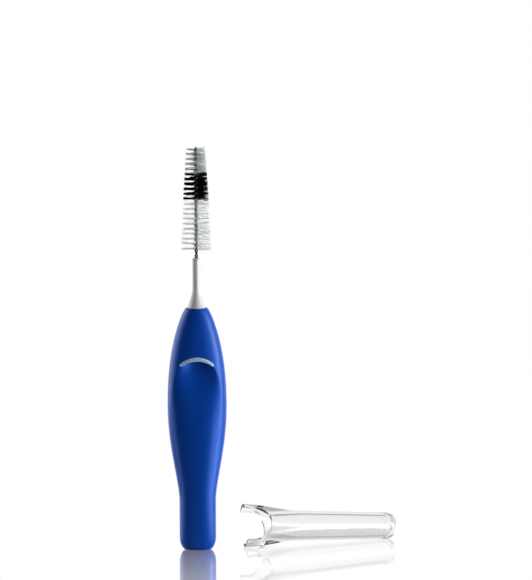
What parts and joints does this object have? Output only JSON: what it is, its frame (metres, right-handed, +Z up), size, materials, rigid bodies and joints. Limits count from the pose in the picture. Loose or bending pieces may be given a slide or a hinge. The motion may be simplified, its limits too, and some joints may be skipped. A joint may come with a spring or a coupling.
{
  "type": "interdental brush",
  "caption": "Interdental brush with a conical twisted-wire brush head, a white neck, a flat blue pinch handle with thumb rests, and a clear two-pronged cap lying beside it.",
  "frame": {"origin": "centre of the handle's flat foot, on the surface that the brush stands on", "axes": "+Z up along the brush from the foot to the wire's tip, -Y out of the front of the handle, +X towards the cap"},
  "size_m": [0.0406, 0.0168, 0.0718],
  "materials": {
    "blue_plastic": "satin",
    "neck_plastic": "satin, slightly translucent",
    "arc_plastic": "satin",
    "wire_steel": "satin",
    "white_nylon": "satin filament",
    "black_nylon": "satin filament",
    "clear_plastic": "clear gloss"
  },
  "bodies": {
    "brush": {"grip": "blue_plastic", "core": "neck_plastic", "thumb_arc": "arc_plastic", "wire": "wire_steel", "tip_filaments": "white_nylon", "black_filaments": "black_nylon", "base_filaments": "white_nylon"},
    "cap": {"cap": "clear_plastic"}
  },
  "joints": [
    {"name": "cap_lift", "type": "slide", "parent": "brush", "child": "cap", "axis": [0, 0, 1], "range_m": [0, 0.08]}
  ]
}
